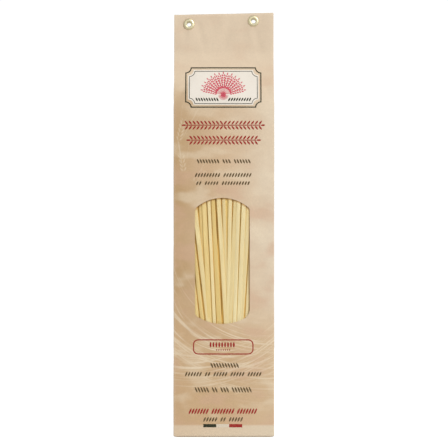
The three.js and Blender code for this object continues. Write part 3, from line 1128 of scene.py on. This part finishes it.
def paper_material(fibre):
    """Brown paper with a soft print in front, paler towards the right, with faint straw."""
    material, nodes, shader = new_material("bag paper")
    mottle, height = nodes.add("Group", node_tree=fibre).values()
    place = nodes.place()
    x, y, z = nodes.parts(place)
    front = y.fade(-BODY_DEPTH * 0.5, -BODY_DEPTH * 0.9)
    across = nodes.math("ADD", x * front / WIDTH, 0.5, clamp=True)
    shifted = across + (nodes.noise(place, 26) - 0.5) * 0.45
    straw = printed_straw(nodes, unrolled(nodes, x, y), z)
    cloud = nodes.noise(nodes.vector(x * 0.55, y, z), 15)
    cloudy = front.fade(0, 1, 0.5, 1) * z.fade(*CLOUD_END, 0.9, 1.3)
    layers = [
        (z.fade(*LOW_FIELD, 0.95, 0), nodes.ramp(shifted, LOW_FIELD_STOPS)),
        (straw * front, STRAW),
        (z.fade(*PRINT_END), PLAIN_PAPER),
        (cloudy * cloud.fade(0.5, 0.7, 0, 0.38), ROSY),
        (cloudy * cloud.fade(0.5, 0.3, 0, 0.3), STRAW),
        (z.fade(*BAND_TOP), nodes.ramp(across, BAND_STOPS)),
        (nodes.attribute("wear") * 0.25, RUBBED),
    ]
    shade = mottle.fade(0.2, 0.8, 0.96, 1.03)
    nodes.feed(shader, {
        "Base Color": nodes.layered(nodes.ramp(shifted, FIELD_STOPS), layers, shade),
        "Specular IOR Level": PAPER_GLOSS,
        "Roughness": mottle.fade(0.2, 0.8, 0.72, 0.88),
        "Normal": nodes.bump(height, 0.05),
    })
    return material


INKS = {
    "red": (152, 34, 28),
    "rose": (202, 82, 96),
    "brown": (94, 76, 48),
    "green": (34, 40, 20),
    "cream": (229, 221, 209),
    "pale": (212, 199, 178),
}


def ink_material(name, fibre):
    """Ink that has sunk into the paper, a little thin where the fibres stand up."""
    material, nodes, shader = new_material(f"{name} ink")
    mottle, height = nodes.add("Group", node_tree=fibre).values()
    thin = mottle.fade(0.45, 0.8, 0, 0.15)
    nodes.feed(shader, {
        "Base Color": nodes.mix(thin, linear(*INKS[name]), PLAIN_PAPER),
        "Specular IOR Level": PAPER_GLOSS,
        "Roughness": mottle.fade(0.2, 0.8, 0.62, 0.8),
        "Normal": nodes.bump(height, 0.04),
    })
    return material


FILM_TINT = linear(214, 180, 120)


def film_material():
    """Clear film, with a shine that is a little hazy in places."""
    material, nodes, shader = new_material("clear film")
    haze = nodes.noise(nodes.place(), 12)
    nodes.feed(shader, {
        "Base Color": FILM_TINT,
        "Alpha": 0.04,
        "Roughness": haze.fade(0.3, 0.7, 0.06, 0.16),
    })
    return material


# A strand from golden to pale, then painted shade: golden along its rounded edges and deep in the bundle,
# and brown in the window's shade.
STRAND_STOPS = [(0.05, (204, 166, 100)), (0.35, (226, 197, 122)), (1, (234, 221, 176))]
PAINTED_EDGE_SHADE = linear(224, 182, 88)
PAINTED_DEEP_SHADE = linear(232, 186, 92)
SHADED_STRAND = linear(190, 136, 66)


def window_shade(nodes, x, z):
    """How much the paper shades the strands, under the window's arch and at its right."""
    across = x - WINDOW_X
    from_arch = nodes.length(across, z - (WINDOW_HIGH - TOP_ARCH))
    top = from_arch.fade(TOP_ARCH - 2, TOP_ARCH - 0.4, 0, 0.75)
    top = top * z.fade(WINDOW_HIGH - 14, WINDOW_HIGH - 8)
    right = across.fade(WINDOW_HALF - 1.6, WINDOW_HALF - 0.2, 0, 0.6)
    return nodes.math("MAXIMUM", top, right)


def pasta_material():
    """Dry pasta, with painted shade: golden at a strand's edges and deep in the bundle, brown under the
    window's edge.
    """
    material, nodes, shader = new_material("dry pasta")
    x, y, z = nodes.parts(nodes.place())
    tone, edge, depth = [nodes.attribute(name) for name in STRAND_LAYERS]
    streaks = nodes.noise(nodes.vector(x, y, z * 0.03), 0.5, 3)
    slow = nodes.noise(nodes.vector(tone * 90, 0, z), 30)
    colour = nodes.ramp(tone * 0.75 + slow * 0.25, STRAND_STOPS)
    layers = [
        # painted shade: a strand turns golden towards its rounded edges
        (edge.fade(0.75, 1, 0, 0.8), PAINTED_EDGE_SHADE),
        # painted shade: strands deep in the bundle turn a warm gold
        (depth.fade(0, 1, 0, 0.85), PAINTED_DEEP_SHADE),
        # painted shadow: strands turn brown under the window's arch and at its right
        (window_shade(nodes, x, z), SHADED_STRAND),
    ]
    nodes.feed(shader, {
        "Base Color": nodes.layered(colour, layers, streaks.fade(0.25, 0.75, 0.95, 1.04)),
        "Roughness": streaks.fade(0.25, 0.75, 0.5, 0.66),
        "Specular IOR Level": 0.2,
        "Normal": nodes.bump(streaks, 0.05),
    })
    return material


BRIGHT_BRASS = linear(244, 236, 206)
DULL_BRASS = linear(214, 202, 156)


def brass_material():
    """Pressed brass, a little dull in places."""
    material, nodes, shader = new_material("eyelet brass")
    dull = nodes.noise(nodes.place(), 1.6, 3)
    nodes.feed(shader, {
        "Base Color": nodes.mix(dull, BRIGHT_BRASS, DULL_BRASS),
        "Metallic": 1,
        "Roughness": dull.fade(0.3, 0.7, 0.34, 0.5),
    })
    return material


# ---- scene

FLOOR_RADIUS = 1800
WHITE = (1, 1, 1, 1)
FLOOR_GREY = (0.35, 0.35, 0.35, 1)
CAMERA_PLACE = (0.1, -2520, 165.7)
LENS = 258.9

# Each sun by its azimuth, elevation, strength and width in degrees.
SUNS = {"key": (38, 30, 1.6, 8), "fill": (-35, 20, 0.3, 60), "sheen": (58, 4, 0.7, 60)}


def make_floor():
    """A white floor, brighter to the camera than to the bag."""
    bm = bmesh.new()
    bmesh.ops.create_circle(bm, cap_ends=True, segments=64, radius=FLOOR_RADIUS * MM)
    floor = to_scene("floor", to_mesh("floor", bm))
    material, nodes, shader = new_material("studio white")
    seen = nodes.add("LightPath")["Is Camera Ray"]
    nodes.feed(shader, {
        "Base Color": FLOOR_GREY,
        "Roughness": 0.9,
        "Emission Color": WHITE,
        "Emission Strength": seen.fade(0, 1, 0.3, 0.85),
    })
    floor.data.materials.append(material)


def make_sun(name, azimuth, elevation, strength, angle):
    """A soft light from far away. azimuth 0 is the front, 90 the right. The sheen only shows in shine."""
    light = bpy.data.lights.new(name, "SUN")
    light.energy = strength
    light.angle = radians(angle)
    lamp = to_scene(name, light)
    lamp.rotation_euler = (radians(90 - elevation), 0, radians(azimuth))
    lamp.visible_diffuse = name != "sheen"


def make_world():
    """A white room, brightest in front and to the right, with some from behind too."""
    world = bpy.data.worlds.new("white room")
    bpy.context.scene.world = world
    world.use_nodes = True
    nodes = Nodes(world.node_tree)
    x, y, z = nodes.parts(nodes.add("TexCoord")["Generated"])
    side = x * 0.5 + z * 0.1 - y * 0.45
    light = side.fade(-0.6, 0.8, 0.3, 0.7) + y.fade(0.1, 0.9, 0, 0.4)
    seen = nodes.add("LightPath")["Is Camera Ray"]
    strength = nodes.math("MAXIMUM", light, seen * 1.05)
    nodes.feed(world.node_tree.nodes["Background"], {"Color": WHITE, "Strength": strength})


def make_camera():
    """Level with the middle of the bag, some way off in front."""
    camera = bpy.data.cameras.new("camera")
    camera.sensor_width = 36
    camera.lens = LENS
    camera.clip_end = 30
    holder = to_scene("camera", camera)
    holder.location = [value * MM for value in CAMERA_PLACE]
    holder.rotation_euler = (pi / 2, 0, 0)
    bpy.context.scene.camera = holder


make_camera()
make_world()
make_floor()
for name, values in SUNS.items():
    make_sun(name, *values)
bpy.context.scene.view_settings.view_transform = "Standard"

fibre = paper_fibre_group()
paper = paper_material(fibre)
make_bag(paper)
for side in (-1, 1):
    make_base_flap(side, paper)
inks = {name: ink_material(name, fibre) for name in INKS}
make_emblem_field(inks)
make_emblem_frame(inks)
make_sheaf(inks)
make_red_print(inks)
make_brown_print(inks)
make_flag_bars(inks)
make_film(film_material())
pasta = pasta_material()
make_pasta(pasta)
make_core(pasta)
brass = brass_material()
for node in EYELET_NODES:
    make_eyelet(node, brass)
